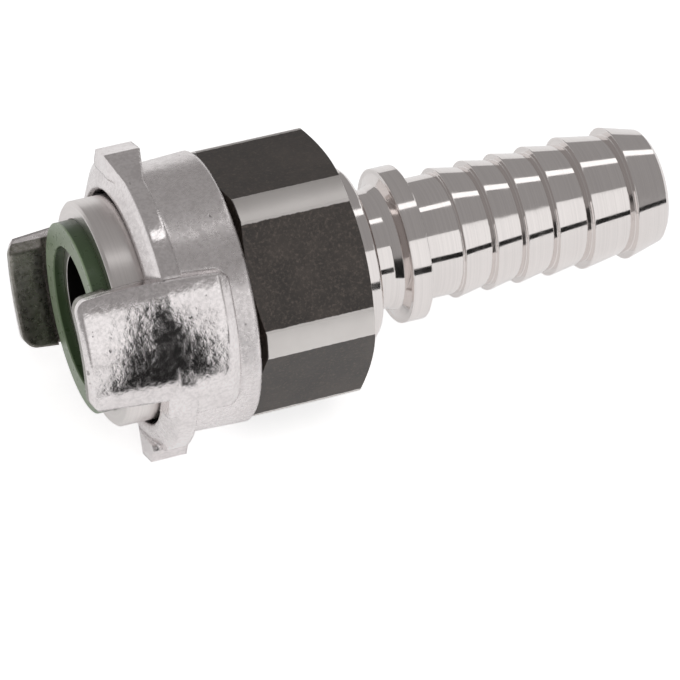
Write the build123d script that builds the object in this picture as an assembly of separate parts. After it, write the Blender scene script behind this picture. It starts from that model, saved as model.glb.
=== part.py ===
from build123d import *
import math
import os

# Swivelling safety claw coupling for a 19 mm hose. Sizes are in mm. The turning axis lies
# along X with the sealing face at x = 0 and the hose end at +X; +Z is up.

# Running fits and seats
slide_gap = 0.06            # radial play where one round piece turns or slides in another
seal_gap = 0.04             # radial play of the seal in its groove
seat_gap = 0.05             # axial play between faces that press on each other
overlap = 1.0               # how far joined or cutting solids run into one another

# Hose stem: nose, journal, neck, collar and barbed tail
through_bore_radius = 8.0
nose_radius = 19.05
nose_front = 2.8            # the seal stands this far out of the nose
nose_length = 8.4
nose_chamfer = 0.45         # on its front rim
lip_front = 1.8             # front of the thin wall inside the seal
lip_bore_radius = 10.4
lip_bore_depth = 9.0        # the wide mouth of the bore, up to its cone
bore_cone_length = 2.4
journal_radius = 15.0
journal_behind_nut = 3.7
journal_chamfer = 0.5
neck_radius = 10.25
neck_length = 5.9
collar_radius = 13.3
collar_length = 3.4
collar_root = 2.2           # the neck rises into the collar over this length, in two slopes
collar_root_step = 0.65
foot_chamfer = 0.6          # where the collar's rear meets the tail
tail_radius = 10.4
tail_plain_length = 6.9
barb_lengths = (5.8, 5.5, 5.7, 6.3, 8.0, 6.7)
barb_radius = 11.25
end_barb_radius = 11.5      # the last two barbs stand a little higher
barb_root_radius = 10.15
tail_end_radius = 9.7
tail_end_chamfer = 0.8

# Seal ring
seal_inner_radius = 12.2
seal_outer_radius = 16.1
seal_length = 6.8

# Claw head
head_front = 8.0            # flat front face around the mouth
head_length = 16.4
drum_wall = 2.7             # outside the mouth
drum_taper = 0.5            # the drum widens this much towards the nut
drum_edge = 0.5
nose_play = 0.85            # open ring between the nose and the head's mouth
mouth_edge = 0.5
flange_height = 2.1         # above the drum
flange_length = 4.7
flange_face_width = 1.3     # the front face is flat over this width and slopes back from there
flange_slope = 1.8
flange_rear_slope = 0.6
lug_front = 0.3             # behind the front face
lug_height = 2.3            # above the flange's rim
lug_length = 6.1
lug_tip_angle = 11.0        # opening angle of a lug's crown, degrees
lug_steep_angle = 6.0       # angle taken by its steep flank
lug_slope_angle = 15.0      # angle taken by its gentle flank
lug_edge = 0.8
lug_turn = 88.0             # from a claw's middle to the next lug's crown, degrees
thread_step = 0.55          # the threaded bore is this much smaller than the nose in radius
thread_length = 5.0
thread_lead = 0.6
thread_runout = 0.4

# Claws
claw_reach = 5.0            # ahead of the sealing face
claw_play = 1.1             # the claws' inside stands this far outside the mouth
claw_tip_wall = 2.8         # from the claws' inside to their back, about the back's own axis
claw_back_wall = 3.95
claw_root_wall = 4.2
crown_shift = 1.2           # the back's axis lies this far off, towards the straight side
claw_half_width = 8.9
claw_bulge = 0.8            # the straight side is this much wider at the flange
claw_tip_half_width = 7.6   # on the flared side
claw_flare = 6.8            # extra width of the flared side at the flange
claw_flare_length = 10.0
flare_middle = (0.36, 0.66)  # the flare's curve passes this share of its length and width
claw_rear = 20.6
claw_corner = 2.2
claw_edge = 0.7
rear_bevel_length = 2.0
rear_bevel_height = 1.5
lip_length = 5.7
lip_flank_angle = 54.0      # slope of the flared side's flank, degrees from the claw's middle
lip_flank_start = 0.6       # the flank starts this far outside the claw's half width
lip_rear_slope = 0.3
mouth_margin = 0.2          # the claws stay this far outside the head's mouth
undercut_depth = 1.5        # behind the lip

# Lock nut
nut_gap = 0.3               # open gap between the head's rim and the nut
nut_across_flats = 41.0
nut_corner_radius = 22.55
nut_length = 20.3
nut_face_radius = 20.0      # the end faces are flat up to here and fall back to the corners
nut_face_slope = 18.3       # where they start to fall back, degrees
spigot_chamfer = 0.8
nut_bore_chamfer = 0.4

# Turning positions about the axis, degrees from +Y towards +Z
claw_angle = 148.0
nut_angle = 72.4

# Radii that follow from each other
mouth_radius = nose_radius + nose_play
thread_radius = nose_radius - thread_step
spigot_radius = thread_radius - slide_gap
bore_in_nut = journal_radius + slide_gap
drum_radius = mouth_radius + drum_wall
drum_rear_radius = drum_radius + drum_taper
flange_radius = drum_radius + flange_height
flange_face_radius = mouth_radius + flange_face_width
lug_tip_radius = flange_radius + lug_height
claw_inner_radius = mouth_radius + claw_play
claw_tip_radius = claw_inner_radius + claw_tip_wall
claw_back_radius = claw_inner_radius + claw_back_wall
claw_root_radius = claw_inner_radius + claw_root_wall
undercut_radius = claw_inner_radius + undercut_depth

# Places along the axis
head_rear = head_front + head_length
nut_front = head_rear + nut_gap
nut_rear = nut_front + nut_length
nose_rear = nose_front + nose_length
journal_rear = nut_rear + journal_behind_nut
collar_front = journal_rear + neck_length
collar_rear = collar_front + collar_length
first_barb = collar_rear + tail_plain_length
tail_end = first_barb + sum(barb_lengths)
seal_rear = seal_length
thread_front = head_rear - thread_length
bore_cone_front = lip_front + lip_bore_depth

# Looking at the head from +Y, with +Z up
seen_from_outside = Plane((0, 0, 0), x_dir=(1, 0, 0), z_dir=(0, -1, 0))


def turned(outline):
    """A solid of revolution about X from (x, radius) points or edges in the XY plane."""
    return revolve(make_face(outline), axis=Axis.X)


def ring(front, rear, inner, outer):
    """A plain ring about X."""
    return turned(Polyline((front, inner), (rear, inner), (rear, outer), (front, outer), close=True))


def circle_edges(solid, x, radius, slack=0.02):
    """The full-circle edges of a turned solid at one place along X with one radius."""
    found = []
    for edge in solid.edges().filter_by(GeomType.CIRCLE):
        same_place = abs(edge.arc_center.X - x) < slack
        if same_place and abs(edge.radius - radius) < slack and abs(edge.arc_center.Y) < slack:
            found.append(edge)
    return found


def polar(radius, angle):
    """A point in the sketch plane across the axis."""
    return (radius * math.cos(math.radians(angle)), radius * math.sin(math.radians(angle)))


def across(x):
    """The plane square to the axis at x, with its own x along +Y."""
    return Plane((x, 0, 0), x_dir=(0, 1, 0), z_dir=(1, 0, 0))


def barb_points():
    """The tail's outline: each barb steps up towards the head and falls away to the hose end."""
    points = [(first_barb, tail_radius)]
    place = first_barb
    for index, length in enumerate(barb_lengths):
        crest = end_barb_radius if index >= len(barb_lengths) - 2 else barb_radius
        root = tail_end_radius if index == len(barb_lengths) - 1 else barb_root_radius
        points.append((place, crest))
        place += length
        points.append((place, root))
    return points


def make_stem():
    """Nose with its seal groove, journal, neck, safety collar and barbed tail, turned in one."""
    outer = [
        (lip_front, lip_bore_radius),
        (lip_front, seal_inner_radius - seal_gap),
        (seal_rear, seal_inner_radius - seal_gap),
        (seal_rear, seal_outer_radius + seal_gap),
        (nose_front, seal_outer_radius + seal_gap),
        (nose_front, nose_radius),
        (nose_rear, nose_radius),
        (nose_rear, journal_radius),
        (journal_rear, journal_radius),
        (journal_rear, neck_radius),
        (collar_front - collar_root, neck_radius),
        (collar_front - collar_root_step, neck_radius + collar_root_step),
        (collar_front, neck_radius + collar_root),
        (collar_front, collar_radius),
        (collar_rear, collar_radius),
        (collar_rear, tail_radius),
    ]
    inner = [
        (tail_end, through_bore_radius),
        (bore_cone_front + bore_cone_length, through_bore_radius),
        (bore_cone_front, lip_bore_radius),
    ]
    stem = turned(Polyline(*outer, *barb_points(), *inner, close=True))
    for x, radius, size in (
        (nose_front, nose_radius, nose_chamfer),
        (journal_rear, journal_radius, journal_chamfer),
        (collar_rear, tail_radius, foot_chamfer),
        (tail_end, tail_end_radius, tail_end_chamfer),
    ):
        stem = chamfer(circle_edges(stem, x, radius), size)
    return stem


def make_seal():
    """Flat-faced seal ring that fills the groove and stands out of the nose."""
    return ring(0, seal_rear - seat_gap, seal_inner_radius, seal_outer_radius)


def nut_fall(radius):
    """How far the nut's rounded ends fall back from their flat faces at a radius; a ball's surface."""
    ball = nut_face_radius / math.sin(math.radians(nut_face_slope))
    return math.sqrt(ball ** 2 - nut_face_radius ** 2) - math.sqrt(ball ** 2 - radius ** 2)


def make_nut():
    """Long hexagon nut with turned corners and a threaded spigot that pushes on the nose."""
    hexagon = RegularPolygon(nut_across_flats / 2, 6, major_radius=False)
    prism = extrude(across(nut_front) * hexagon, nut_length)
    radii = (nut_face_radius, (nut_face_radius + nut_corner_radius) / 2, nut_corner_radius)
    front_end = ThreePointArc(*((nut_front + nut_fall(radius), radius) for radius in radii))
    rear_end = ThreePointArc(*((nut_rear - nut_fall(radius), radius) for radius in radii))
    core = bore_in_nut / 2
    flat_parts = Polyline(rear_end @ 0, (nut_rear, core), (nut_front, core), front_end @ 0)
    corner_line = Line(front_end @ 1, rear_end @ 1)
    blank = turned(front_end.edges() + rear_end.edges() + flat_parts.edges() + corner_line.edges())
    body = prism & blank
    body = Rot(nut_angle - 90, 0, 0) * body
    spigot = ring(nose_rear + seat_gap, nut_front + overlap, core, spigot_radius)
    spigot = chamfer(circle_edges(spigot, nose_rear + seat_gap, spigot_radius), spigot_chamfer)
    nut = body + spigot - ring(0, tail_end, 0, bore_in_nut)
    return chamfer(circle_edges(nut, nut_rear, bore_in_nut), nut_bore_chamfer)


def lug_profile():
    """One lug seen along X: a flat crown, one steep flank and one gentle flank."""
    half = lug_tip_angle / 2
    base = flange_radius - overlap
    corners = (
        (-half - lug_steep_angle, base),
        (-half - lug_steep_angle, flange_radius),
        (-half, lug_tip_radius),
        (half, lug_tip_radius),
        (half + lug_slope_angle, flange_radius),
        (half + lug_slope_angle, base),
    )
    profile = make_face(Polyline(*(polar(radius, angle) for angle, radius in corners), close=True))
    crown = profile.vertices().sort_by(Axis.X)[-2:]
    return fillet(crown, lug_edge)


def lug_plan():
    """One lug seen from outside: it narrows to the flange's rim along the gentle flank."""
    front = head_front + lug_front
    rear = front + lug_length
    crown_end = polar(lug_tip_radius, lug_tip_angle / 2)[1]
    foot_end = polar(flange_radius, lug_tip_angle / 2 + lug_slope_angle)[1]
    steep_end = -polar(lug_tip_radius, lug_tip_angle / 2 + lug_steep_angle)[1]
    return make_face(Polyline(
        (front, steep_end), (front, crown_end), (head_front + flange_slope, foot_end),
        (head_front + flange_length, foot_end), (rear, crown_end), (rear, steep_end), close=True,
    ))


def make_lug():
    """One lug about the +Y direction, with its gentle flank towards +Z."""
    profile = extrude(across(0) * lug_profile(), head_rear)
    return profile & extrude(seen_from_outside * lug_plan(), -lug_tip_radius - overlap)


def claw_back():
    """The turned form of the claws' backs: steeper ahead of the flange, bevelled at both ends."""
    bevel_front = claw_rear - rear_bevel_length
    form = turned(Polyline(
        (-claw_reach, 0), (-claw_reach, claw_tip_radius), (head_front + flange_slope, claw_back_radius),
        (bevel_front, claw_root_radius), (claw_rear, claw_root_radius - rear_bevel_height),
        (claw_rear, 0), close=True,
    ))
    form = chamfer(circle_edges(form, -claw_reach, claw_tip_radius), claw_edge)
    return Pos(0, 0, -crown_shift) * form


def claw_inside():
    """What the claws reach round: the lip's bore, the pocket behind the lip and the head's own bore."""
    lip_rear = lip_length - claw_reach
    return turned(Polyline(
        (-claw_reach - overlap, 0), (-claw_reach - overlap, claw_inner_radius), (lip_rear, claw_inner_radius),
        (lip_rear + lip_rear_slope, undercut_radius), (head_front, undercut_radius),
        (head_front, mouth_radius + mouth_margin), (claw_rear + overlap, mouth_radius + mouth_margin),
        (claw_rear + overlap, 0), close=True,
    ))


def claw_plan():
    """A claw seen from outside: nearly straight on one side, flared towards the flange on the other."""
    tip = -claw_reach
    flare_side = claw_tip_half_width + claw_flare
    flare_end = tip + claw_flare_length
    straight = ThreePointArc(
        (tip, -claw_half_width), (head_front, -claw_half_width - claw_bulge), (claw_rear, -claw_half_width)
    )
    flare = ThreePointArc(
        (flare_end, flare_side),
        (tip + claw_flare_length * flare_middle[0], claw_tip_half_width + claw_flare * flare_middle[1]),
        (tip, claw_tip_half_width),
    )
    front = Line((tip, claw_tip_half_width), (tip, -claw_half_width))
    rear = Polyline((claw_rear, -claw_half_width), (claw_rear, flare_side), (flare_end, flare_side))
    plan = make_face(front.edges() + straight.edges() + rear.edges() + flare.edges())
    corners = plan.vertices().sort_by(Axis.X)
    return fillet(corners[:2] + corners[-2:], claw_corner)


def flank_cut():
    """Slants the flared side's flank ahead of the flange, from the lip's edge out to the back."""
    start = claw_half_width + lip_flank_start
    run = math.tan(math.radians(lip_flank_angle))
    inwards, outwards = claw_inner_radius / 2, 2 * (claw_root_radius - claw_inner_radius)
    low, high = claw_inner_radius - inwards, claw_inner_radius + outwards
    outline = Polyline(
        (low, start - inwards * run), (high, start + outwards * run), (low, start + outwards * run),
        close=True,
    )
    front = -claw_reach - overlap
    return extrude(across(front) * make_face(outline), head_front - front)


def make_claw():
    """One claw about the +Y direction, flared towards +Z."""
    blank = claw_back() & extrude(seen_from_outside * claw_plan(), -claw_root_radius - overlap)
    return blank - claw_inside() - flank_cut()


def make_head():
    """Cast head: drum, flange with two lugs and two hooked claws, bored and threaded inside."""
    flange_rear = head_front + flange_length
    body = turned(Polyline(
        (head_front, mouth_radius), (head_front, flange_face_radius),
        (head_front + flange_slope, flange_radius), (flange_rear, flange_radius),
        (flange_rear + flange_rear_slope, drum_radius), (head_rear, drum_rear_radius),
        (head_rear, thread_radius), (thread_front, thread_radius),
        (thread_front - thread_runout, mouth_radius), close=True,
    ))
    body = chamfer(circle_edges(body, head_rear, drum_rear_radius), drum_edge)
    body = chamfer(circle_edges(body, head_front, mouth_radius), mouth_edge)
    body = chamfer(circle_edges(body, head_rear, thread_radius), thread_lead)
    claw, lug = make_claw(), make_lug()
    claws = [Rot(claw_angle + turn, 0, 0) * claw for turn in (0, 180)]
    lugs = [Rot(claw_angle - lug_turn + turn, 0, 0) * lug for turn in (0, 180)]
    body = body + claws + lugs
    return body - ring(head_front - overlap, thread_front - thread_runout, 0, mouth_radius)


if __name__ == "__main__":
    os.makedirs("parts", exist_ok=True)
    pieces = {
        "claw_head": make_head(),
        "hose_stem": make_stem(),
        "seal_ring": make_seal(),
        "lock_nut": make_nut(),
    }
    for name, piece in pieces.items():
        export_step(piece, f"parts/{name}.step")
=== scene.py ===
import math

import bpy
from mathutils import Matrix, Vector


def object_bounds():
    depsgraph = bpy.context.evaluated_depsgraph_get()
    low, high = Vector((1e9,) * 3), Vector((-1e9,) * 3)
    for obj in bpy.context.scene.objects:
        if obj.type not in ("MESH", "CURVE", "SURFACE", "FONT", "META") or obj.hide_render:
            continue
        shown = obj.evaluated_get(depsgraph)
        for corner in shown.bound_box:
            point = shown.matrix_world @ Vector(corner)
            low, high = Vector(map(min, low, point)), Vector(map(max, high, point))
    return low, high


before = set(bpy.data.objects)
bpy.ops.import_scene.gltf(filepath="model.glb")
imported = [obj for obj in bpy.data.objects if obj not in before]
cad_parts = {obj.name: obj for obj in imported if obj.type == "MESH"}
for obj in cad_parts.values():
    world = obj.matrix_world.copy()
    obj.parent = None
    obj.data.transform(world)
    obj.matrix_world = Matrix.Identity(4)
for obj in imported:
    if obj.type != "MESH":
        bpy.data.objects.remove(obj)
cad_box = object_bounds()

# Where the finishes and the painted shade change, in metres: places along the axis behind the sealing face,
# and radii
MOUTH_FRONT = 0.00185       # the bore's wide mouth starts behind a thin lip
MOUTH_END = 0.0136
MOUTH_RADIUS = 0.0106       # the mouth's wall lies within this
BORE_RADIUS = 0.0083        # and the rest of the bore's wall within this
NOSE_END = 0.0130           # satin ahead of this, polished behind
CLAWS_END = 0.0079          # just ahead of the head's front face
CLAW_INSIDE = 0.0226        # the claws' inner faces lie within this
HANDLED_FROM = 0.0232       # the head's outermost skin is rubbed smooth
NUT_CORNER = 0.02255        # the nut's corners are turned down to this
NUT_MIDDLE = 0.04
SPIGOT_END = 0.02465        # the nut's threaded spigot lies ahead of this
THREAD_PITCH = 0.002
THREAD_HEIGHT = 0.00022

MIDDLE = Vector((0.0398, -0.0177, 0.0))     # what the lights point at
GLOW = 0.3                  # the floor's own light, in reflections and to the camera
GLOW_TO_CAMERA = 0.35       # and what the camera alone sees on top of it


# ---------------------------------------------------------------- node helpers
class Nodes:
    """Short calls for building one material's node tree."""

    def __init__(self, name):
        self.material = bpy.data.materials.new(name)
        self.material.use_nodes = True
        self.tree = self.material.node_tree
        self.tree.nodes.clear()
        self.output = self.add("ShaderNodeOutputMaterial")
        self.place = self.add("ShaderNodeTexCoord").outputs["Object"]

    def add(self, kind, **settings):
        node = self.tree.nodes.new(kind)
        for key, value in settings.items():
            setattr(node, key, value)
        return node

    def put(self, socket, value):
        """Links a socket, or sets a plain value on it."""
        if isinstance(value, bpy.types.NodeSocket):
            self.tree.links.new(value, socket)
        elif value is not None:
            socket.default_value = value

    def math(self, operation, a, b=None, c=None):
        node = self.add("ShaderNodeMath", operation=operation)
        for socket, value in zip(node.inputs, (a, b, c)):
            self.put(socket, value)
        return node.outputs[0]

    def times(self, a, b):
        return self.math("MULTIPLY", a, b)

    def over(self, value, limit):
        """1 where the value is over the limit, 0 elsewhere."""
        return self.math("GREATER_THAN", value, limit)

    def under(self, value, limit):
        return self.math("LESS_THAN", value, limit)

    def either(self, a, b):
        return self.math("MAXIMUM", a, b)

    def axial(self):
        """Place along the turning axis, in metres behind the sealing face."""
        return self.split(self.place)[0]

    def ramp(self, value, low, high, to_low=0.0, to_high=1.0):
        """Eases low..high into to_low..to_high, held at the ends."""
        node = self.add("ShaderNodeMapRange", interpolation_type="SMOOTHSTEP")
        for key, item in (("Value", value), ("From Min", low), ("From Max", high),
                          ("To Min", to_low), ("To Max", to_high)):
            self.put(node.inputs[key], item)
        return node.outputs["Result"]

    def split(self, vector):
        node = self.add("ShaderNodeSeparateXYZ")
        self.put(node.inputs[0], vector)
        return node.outputs

    def join(self, x, y, z):
        node = self.add("ShaderNodeCombineXYZ")
        for socket, value in zip(node.inputs, (x, y, z)):
            self.put(socket, value)
        return node.outputs[0]

    def noise(self, scale, detail=3.0, vector=None, roughness=0.55):
        node = self.add("ShaderNodeTexNoise")
        self.put(node.inputs["Vector"], self.place if vector is None else vector)
        self.put(node.inputs["Scale"], scale)
        self.put(node.inputs["Detail"], detail)
        self.put(node.inputs["Roughness"], roughness)
        return node.outputs["Fac"]

    def mix(self, factor, a, b):
        node = self.add("ShaderNodeMix", data_type="RGBA")
        self.put(node.inputs["Factor"], factor)
        self.put(node.inputs["A"], a)
        self.put(node.inputs["B"], b)
        return node.outputs["Result"]

    def blend(self, factor, a, b):
        node = self.add("ShaderNodeMix", data_type="FLOAT")
        self.put(node.inputs["Factor"], factor)
        self.put(node.inputs["A"], a)
        self.put(node.inputs["B"], b)
        return node.outputs["Result"]

    def aim(self, factor, a, b):
        """Chooses between two directions."""
        node = self.add("ShaderNodeMix", data_type="VECTOR")
        for socket, value in zip((node.inputs["Factor"], node.inputs[4], node.inputs[5]), (factor, a, b)):
            self.put(socket, value)
        return node.outputs[1]

    def bump(self, height, normal):
        """Tilts a normal by a height in metres."""
        node = self.add("ShaderNodeBump")
        for key, value in (("Height", height), ("Distance", 1.0), ("Strength", 1.0), ("Normal", normal)):
            self.put(node.inputs[key], value)
        return node.outputs["Normal"]

    def surface(self, **inputs):
        """The material's one Principled shader; underscores stand for spaces in its socket names."""
        shader = self.add("ShaderNodeBsdfPrincipled")
        for key, value in inputs.items():
            self.put(shader.inputs[key.replace("_", " ")], value)
        self.tree.links.new(shader.outputs[0], self.output.inputs[0])
        return self.material


def radius_of(n):
    """Distance of a surface point from the turning axis, in metres."""
    axes = n.split(n.place)
    return n.math("SQRT", n.math("ADD", n.times(axes[1], axes[1]), n.times(axes[2], axes[2])))


def world_radial(n, normal):
    """Keeps a normal's lean along the axis and points the rest of it straight out from the axis."""
    lean = n.split(normal)[0]
    place = n.split(n.add("ShaderNodeNewGeometry").outputs["Position"])
    outwards = n.add("ShaderNodeVectorMath", operation="NORMALIZE")
    n.put(outwards.inputs[0], n.join(0.0, place[1], place[2]))
    facing = n.add("ShaderNodeVectorMath", operation="DOT_PRODUCT")
    n.put(facing.inputs[0], normal)
    n.put(facing.inputs[1], outwards.outputs[0])
    rest = n.math("SQRT", n.either(n.math("SUBTRACT", 1.0, n.times(lean, lean)), 0.0))
    rest = n.times(rest, n.math("SIGN", facing.outputs["Value"]))
    axes = n.split(outwards.outputs[0])
    return n.join(lean, n.times(axes[1], rest), n.times(axes[2], rest))


def true_normal(n):
    """The facets' own normals, sharp at every edge."""
    return n.add("ShaderNodeNewGeometry").outputs["True Normal"]


def rounded(n, radius):
    """Normals with the sharp edges softened over a small radius."""
    node = n.add("ShaderNodeBevel", samples=8)
    node.inputs["Radius"].default_value = radius
    return node.outputs["Normal"]


def turning_marks(n, per_metre, detail=2.0):
    """Fine rings left by the lathe, drawn from the place along the axis and the radius alone."""
    return n.noise(per_metre, detail, vector=n.join(n.axial(), radius_of(n), 0.0))


# ---------------------------------------------------------------- materials
def cast_zinc():
    """Bright zinc plating over a cast skin: grainy, pitted, with soft reflections, and painted shade on the
    claws' inner faces.
    """
    n = Nodes("cast_zinc")
    light, dull = (0.92, 0.88, 0.88, 1), (0.83, 0.79, 0.79, 1)
    pit_colour, grain_colour = (0.20, 0.19, 0.19, 1), (0.55, 0.52, 0.52, 1)
    claw_inside_shade, claw_inside_shade_light = (0.16, 0.155, 0.13, 1), (0.36, 0.35, 0.31, 1)
    radius = radius_of(n)

    pits = n.ramp(n.noise(520, 2.0), 0.30, 0.22)
    colour = n.mix(n.ramp(n.noise(150, 5.0), 0.38, 0.68), light, dull)
    colour = n.mix(n.times(pits, 0.7), colour, pit_colour)
    # Painted shade: the claws' inner faces are painted dark brownish grey, as shade between the claws.
    shade_in_claws = n.times(n.under(radius, CLAW_INSIDE), n.under(n.axial(), CLAWS_END))
    colour = n.mix(shade_in_claws, colour, n.mix(n.noise(1300, 4.0), claw_inside_shade, claw_inside_shade_light))
    colour = n.mix(n.ramp(n.noise(1700, 3.0), 0.35, 0.62, 0.3, 0.0), colour, grain_colour)

    handled = n.ramp(radius, HANDLED_FROM, HANDLED_FROM + 0.0005)
    rough = n.ramp(n.noise(900, 3.0), 0.3, 0.7, 0.24, 0.34)
    rough = n.math("SUBTRACT", rough, n.times(handled, 0.17))

    grain = n.times(n.noise(2300, 3.0, roughness=0.6), 0.000011)
    ripple = n.times(n.noise(900, 2.0), 0.00002)
    lumps = n.times(n.noise(260, 2.0), 0.00007)
    height = n.math("ADD", n.math("ADD", grain, ripple), lumps)
    height = n.math("SUBTRACT", height, n.times(pits, 0.00003))
    normal = n.bump(height, rounded(n, 0.0008))
    return n.surface(Base_Color=colour, Metallic=1.0, Roughness=rough, Normal=normal)


def polished_steel():
    """Turned steel: a satin nose, a bore painted dark as shade, and a polished journal, collar and tail."""
    n = Nodes("polished_steel")
    light, dull = (0.90, 0.86, 0.845, 1), (0.80, 0.76, 0.745, 1)
    mark_colour, bore_shade_colour = (0.55, 0.525, 0.515, 1), (0.07, 0.065, 0.06, 1)
    axial, radius = n.axial(), radius_of(n)

    colour = n.mix(n.noise(70, 4.0), light, dull)
    colour = n.mix(n.ramp(turning_marks(n, 3500, 4.0), 0.35, 0.65, 0.16, 0.0), colour, mark_colour)
    # Painted shade: the bore and its wide mouth are painted near black, as shade inside the hollow.
    mouth = n.times(n.over(axial, MOUTH_FRONT), n.under(axial, MOUTH_END))
    mouth = n.times(mouth, n.under(radius, MOUTH_RADIUS))
    colour = n.mix(n.either(mouth, n.under(radius, BORE_RADIUS)), colour, bore_shade_colour)

    satin = n.ramp(axial, NOSE_END, NOSE_END - 0.0005)
    rough = n.blend(satin, n.ramp(n.noise(500, 3.0), 0.3, 0.7, 0.06, 0.11), 0.3)
    height = n.times(turning_marks(n, 9000), n.blend(satin, 0.0000006, 0.000003))
    normal = n.bump(height, world_radial(n, rounded(n, 0.00028)))
    return n.surface(Base_Color=colour, Metallic=1.0, Roughness=rough, Normal=normal)


def nut_steel():
    """Black mill scale on the flats; bright turned steel on the corners, the rear and the thread."""
    n = Nodes("nut_steel")
    dark, brown, speck = (0.017, 0.012, 0.009, 1), (0.046, 0.034, 0.027, 1), (0.105, 0.082, 0.068, 1)
    light, dull = (0.80, 0.77, 0.75, 1), (0.66, 0.63, 0.61, 1)
    axial, radius, flat = n.axial(), radius_of(n), true_normal(n)

    ragged = n.times(n.math("SUBTRACT", n.noise(900, 4.0), 0.5), 0.00016)
    corner = n.ramp(n.math("ADD", radius, ragged), NUT_CORNER - 0.00026, NUT_CORNER - 0.00018)
    spigot = n.under(axial, SPIGOT_END)
    rear = n.times(n.over(n.split(flat)[0], 0.25), n.over(axial, NUT_MIDDLE))
    bright = n.either(corner, n.either(spigot, rear))

    grain = n.noise(1900, 4.0, roughness=0.7)
    scale = n.mix(n.ramp(n.noise(110, 6.0, roughness=0.7), 0.35, 0.7), dark, brown)
    scale = n.mix(n.ramp(grain, 0.45, 0.75), scale, speck)
    colour = n.mix(bright, scale, n.mix(n.noise(140, 4.0), light, dull))
    rough = n.blend(bright, n.ramp(grain, 0.3, 0.7, 0.36, 0.5), 0.3)

    height = n.blend(bright, n.times(grain, 0.000016), n.times(turning_marks(n, 7000), 0.000002))
    thread = n.math("SINE", n.times(axial, 2 * math.pi / THREAD_PITCH))
    height = n.math("MULTIPLY_ADD", n.times(thread, spigot), THREAD_HEIGHT, height)
    round_part = n.either(n.over(radius, NUT_CORNER - 0.00005), spigot)
    normal = n.bump(height, n.aim(round_part, flat, world_radial(n, flat)))
    return n.surface(Base_Color=colour, Metallic=n.blend(bright, 0.25, 1.0), Roughness=rough,
                     Specular_IOR_Level=1.0, Normal=normal)


def green_seal():
    """Dark green elastomer with a faint mould skin; its sealing face is painted paler as painted light."""
    n = Nodes("green_seal")
    colour = n.mix(n.noise(160, 4.0), (0.040, 0.070, 0.028, 1), (0.058, 0.092, 0.044, 1))
    # Painted light: the sealing face is painted paler than the rest of the ring, as if lit and reflecting
    # the floor.
    face_painted_light = n.mix(n.noise(420, 4.0), (0.25, 0.34, 0.20, 1), (0.34, 0.43, 0.29, 1))
    colour = n.mix(n.ramp(n.axial(), 0.0004, 0.0001), colour, face_painted_light)
    rough = n.ramp(n.noise(700, 3.0), 0.3, 0.7, 0.26, 0.36)
    normal = n.bump(n.times(n.noise(1500, 4.0), 0.000006), world_radial(n, true_normal(n)))
    return n.surface(Base_Color=colour, Roughness=rough, Normal=normal)


def give(node, material):
    """Puts one material on a CAD node."""
    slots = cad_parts[node].data.materials
    slots.clear()
    slots.append(material)


give("claw_head", cast_zinc())
give("hose_stem", polished_steel())
give("lock_nut", nut_steel())
give("seal_ring", green_seal())


# ---------------------------------------------------------------- floor, lights and camera
def link(name, data):
    item = bpy.data.objects.new(name, data)
    bpy.context.collection.objects.link(item)
    return item


def face(name, corners):
    """A mesh of one flat face."""
    mesh = bpy.data.meshes.new(name)
    mesh.from_pydata(corners, [], [tuple(range(len(corners)))])
    return link(name, mesh)


def white_floor(level, half=6):
    """Pale floor that glows a little, so that it reads as white and keeps a soft shadow."""
    n = Nodes("white_floor")
    path = n.add("ShaderNodeLightPath")
    camera_ray = path.outputs["Is Camera Ray"]
    seen = n.either(n.either(camera_ray, path.outputs["Is Glossy Ray"]), path.outputs["Is Transmission Ray"])
    glow = n.add("ShaderNodeEmission")
    n.put(glow.inputs["Strength"], n.math("MULTIPLY_ADD", camera_ray, GLOW_TO_CAMERA, n.times(seen, GLOW)))
    plain = n.add("ShaderNodeBsdfDiffuse")
    plain.inputs["Color"].default_value = (0.86, 0.86, 0.86, 1)
    both = n.add("ShaderNodeAddShader")
    n.put(both.inputs[0], plain.outputs[0])
    n.put(both.inputs[1], glow.outputs[0])
    n.put(n.output.inputs[0], both.outputs[0])
    item = face("floor", [(-half, -half, 0), (half, -half, 0), (half, half, 0), (-half, half, 0)])
    item.location = (0, 0, level)
    item.data.materials.append(n.material)


def dark_card(name, corners):
    """A black flag that only shows as a reflection."""
    card = face(name, corners)
    n = Nodes(name)
    card.data.materials.append(n.surface(Base_Color=(0.02, 0.02, 0.02, 1), Roughness=1.0))
    card.visible_camera = False
    card.visible_diffuse = False
    card.visible_shadow = False


def along(azimuth, elevation, distance, start):
    """The point at a distance from start in a given direction, angles in degrees."""
    a, e = math.radians(azimuth), math.radians(elevation)
    step = Vector((math.cos(a) * math.cos(e), math.sin(a) * math.cos(e), math.sin(e)))
    return start + distance * step


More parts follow.
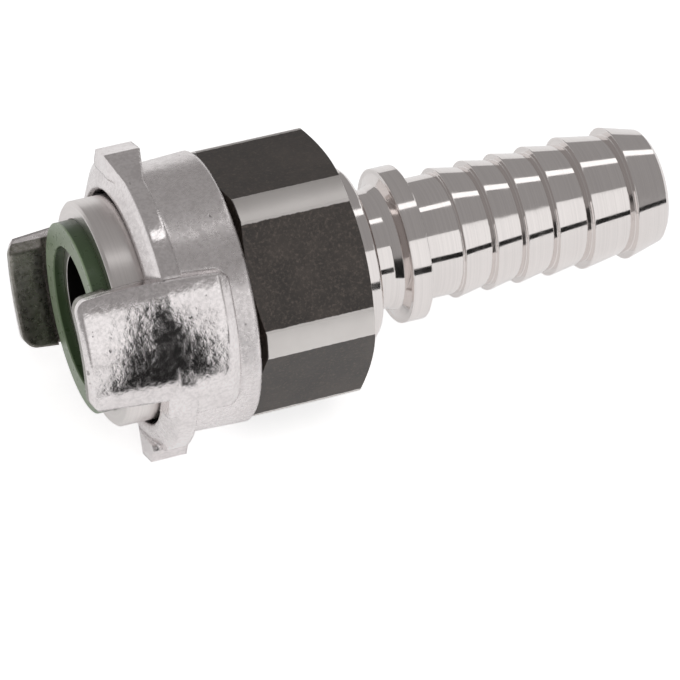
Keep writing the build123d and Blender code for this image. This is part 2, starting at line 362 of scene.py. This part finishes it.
def panel(name, direction, distance, width, depth, strength, seen=True):
    """A rectangular soft light around the middle; strength is its brightness, where 1 looks white."""
    light = bpy.data.lights.new(name, "AREA")
    light.shape = "RECTANGLE"
    light.size, light.size_y = width, depth
    light.energy = strength * math.pi * width * depth
    item = link(name, light)
    item.location = along(*direction, distance, MIDDLE)
    item.rotation_euler = (MIDDLE - item.location).to_track_quat("-Z", "Y").to_euler()
    item.visible_camera = False
    item.visible_glossy = seen


def room(brightness):
    """A plain grey room around the table."""
    world = bpy.data.worlds.new("room")
    world.use_nodes = True
    background = world.node_tree.nodes["Background"]
    background.inputs["Color"].default_value = (1.0, 0.972, 0.962, 1)
    background.inputs["Strength"].default_value = brightness
    bpy.context.scene.world = world


def camera(target, azimuth, elevation, roll, distance, lens):
    """The view of the photograph: a long lens, with a little roll, and angles in degrees."""
    data = bpy.data.cameras.new("camera")
    data.lens = lens
    data.sensor_width = 36
    data.clip_start, data.clip_end = 0.01, 50
    item = link("camera", data)
    place = along(azimuth, elevation, distance, target)
    look = (target - place).to_track_quat("-Z", "Y").to_matrix().to_4x4()
    item.matrix_world = Matrix.Translation(place) @ look @ Matrix.Rotation(math.radians(roll), 4, "Z")
    bpy.context.scene.camera = item


ground = cad_box[0][2]
white_floor(ground)
room(0.32)
panel("tube", (30, 48), distance=2.2, width=0.3, depth=2.8, strength=1.0)
panel("window", (-68, 23), distance=2.2, width=2.3, depth=1.75, strength=0.62)
panel("fill", (-100, 60), distance=2.6, width=2.4, depth=2.4, strength=1.3, seen=False)
dark_card("sill", [(0.14, -0.37, ground), (0.6, -0.37, ground), (0.6, -0.37, 0.04), (0.14, -0.37, 0.04)])
dark_card("flag", [(0.004, -0.09, ground), (0.032, -0.09, ground), (0.026, -0.09, 0.05),
                   (0.0195, -0.09, 0.09), (0.0155, -0.09, 0.09), (0.010, -0.09, 0.05)])
camera(Vector((0.039829, -0.017744, -0.000065)), azimuth=-113.8991, elevation=47.2261, roll=4.535,
       distance=0.6581, lens=211.765)
bpy.context.scene.view_settings.view_transform = "Standard"
